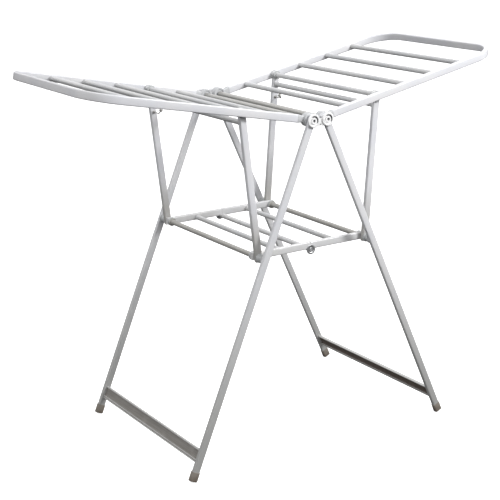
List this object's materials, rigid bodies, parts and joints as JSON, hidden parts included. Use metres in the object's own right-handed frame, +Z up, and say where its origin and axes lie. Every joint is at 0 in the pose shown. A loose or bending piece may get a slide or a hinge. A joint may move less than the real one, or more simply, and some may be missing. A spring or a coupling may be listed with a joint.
{
  "type": "clothes drying rack",
  "caption": "Folding clothes drying rack: two raised rod wings on a double top hinge, each propped by a strut frame, over splayed legs tied by a folding rod shelf.",
  "frame": {"origin": "on the floor, under the middle of the rack", "axes": "+X across the wings towards the right wing, +Y along the rods towards the far side, +Z up"},
  "size_m": [1.2698, 0.583, 1.0379],
  "materials": {
    "light_grey_enamel": "satin",
    "bare_steel": "satin",
    "white_plastic": "satin",
    "brown_rubber": "matte"
  },
  "bodies": {
    "hinge": {"hinge_tube_left": "bare_steel", "hinge_tube_right": "bare_steel", "link_plate_near": "light_grey_enamel", "link_plate_far": "light_grey_enamel", "hinge_cap_left_near": "white_plastic", "hinge_cap_left_far": "white_plastic", "hinge_cap_right_near": "white_plastic", "hinge_cap_right_far": "white_plastic"},
    "leg_frame_left": {"leg_left_near": "light_grey_enamel", "leg_left_far": "light_grey_enamel", "foot_left_near": "brown_rubber", "foot_left_far": "brown_rubber", "bottom_bar_left": "light_grey_enamel", "strut_pivot_left_near": "bare_steel", "strut_pivot_left_far": "bare_steel"},
    "leg_frame_right": {"leg_right_near": "light_grey_enamel", "leg_right_far": "light_grey_enamel", "foot_right_near": "brown_rubber", "foot_right_far": "brown_rubber", "bottom_bar_right": "light_grey_enamel", "strut_pivot_right_near": "bare_steel", "strut_pivot_right_far": "bare_steel"},
    "wing_left": {"wing_frame_left": "light_grey_enamel", "wing_rod_left_1": "light_grey_enamel", "wing_rod_left_2": "light_grey_enamel", "wing_rod_left_3": "light_grey_enamel", "wing_rod_left_4": "light_grey_enamel", "wing_rod_left_5": "light_grey_enamel", "wing_socket_left_near": "white_plastic", "wing_socket_left_far": "white_plastic"},
    "wing_right": {"wing_frame_right": "light_grey_enamel", "wing_rod_right_1": "light_grey_enamel", "wing_rod_right_2": "light_grey_enamel", "wing_rod_right_3": "light_grey_enamel", "wing_rod_right_4": "light_grey_enamel", "wing_rod_right_5": "light_grey_enamel", "wing_socket_right_near": "white_plastic", "wing_socket_right_far": "white_plastic"},
    "strut_frame_left": {"strut_left_near": "light_grey_enamel", "strut_left_far": "light_grey_enamel", "strut_seat_left_near": "white_plastic", "strut_seat_left_far": "white_plastic", "strut_rod_left": "light_grey_enamel", "catch_hook_left": "bare_steel"},
    "strut_frame_right": {"strut_right_near": "light_grey_enamel", "strut_right_far": "light_grey_enamel", "strut_seat_right_near": "white_plastic", "strut_seat_right_far": "white_plastic", "strut_rod_right": "light_grey_enamel", "catch_hook_right": "bare_steel"},
    "shelf_left": {"shelf_rail_left_near": "light_grey_enamel", "shelf_rail_left_far": "light_grey_enamel", "shelf_end_rod_left": "light_grey_enamel", "shelf_rod_left": "light_grey_enamel", "shelf_hinge_rod": "light_grey_enamel"},
    "shelf_right": {"shelf_rail_right_near": "light_grey_enamel", "shelf_rail_right_far": "light_grey_enamel", "shelf_end_rod_right": "light_grey_enamel", "shelf_rod_right": "light_grey_enamel"}
  },
  "joints": [
    {"name": "leg_fold", "type": "hinge", "parent": "hinge", "child": "leg_frame_right", "pos_m": [0.022, 0, 0.905], "axis": [0, 1, 0], "range_deg": [0, 23.3]},
    {"name": "left_leg_fold", "type": "hinge", "parent": "hinge", "child": "leg_frame_left", "pos_m": [-0.022, 0, 0.905], "axis": [0, -1, 0], "range_deg": [0, 23.5]},
    {"name": "wing_left_fold", "type": "hinge", "parent": "leg_frame_left", "child": "wing_left", "pos_m": [-0.022, 0, 0.905], "axis": [0, -1, 0], "range_deg": [0, 65]},
    {"name": "strut_left_fold", "type": "hinge", "parent": "leg_frame_left", "child": "strut_frame_left", "pos_m": [-0.17162, 0, 0.5578], "axis": [0, -1, 0], "range_deg": [0, 150]},
    {"name": "wing_right_fold", "type": "hinge", "parent": "leg_frame_right", "child": "wing_right", "pos_m": [0.022, 0, 0.905], "axis": [0, 1, 0], "range_deg": [0, 65]},
    {"name": "strut_right_fold", "type": "hinge", "parent": "leg_frame_right", "child": "strut_frame_right", "pos_m": [0.17162, 0, 0.5578], "axis": [0, 1, 0], "range_deg": [0, 150]},
    {"name": "shelf_left_fold", "type": "hinge", "parent": "leg_frame_left", "child": "shelf_left", "pos_m": [-0.17162, 0, 0.5578], "axis": [0, -1, 0], "range_deg": [0, 62.75]},
    {"name": "shelf_middle_fold", "type": "hinge", "parent": "shelf_left", "child": "shelf_right", "pos_m": [0, 0, 0.549], "axis": [0, 1, 0], "range_deg": [0, 171.6]}
  ],
  "couplings": [
    {"joint": "left_leg_fold", "follows": "leg_fold", "ratio": 1},
    {"joint": "strut_left_fold", "follows": "wing_left_fold", "ratio": 2.3},
    {"joint": "strut_right_fold", "follows": "wing_right_fold", "ratio": 2.3},
    {"joint": "shelf_left_fold", "follows": "leg_fold", "ratio": 2.6717},
    {"joint": "shelf_middle_fold", "follows": "leg_fold", "ratio": 7.3434}
  ]
}
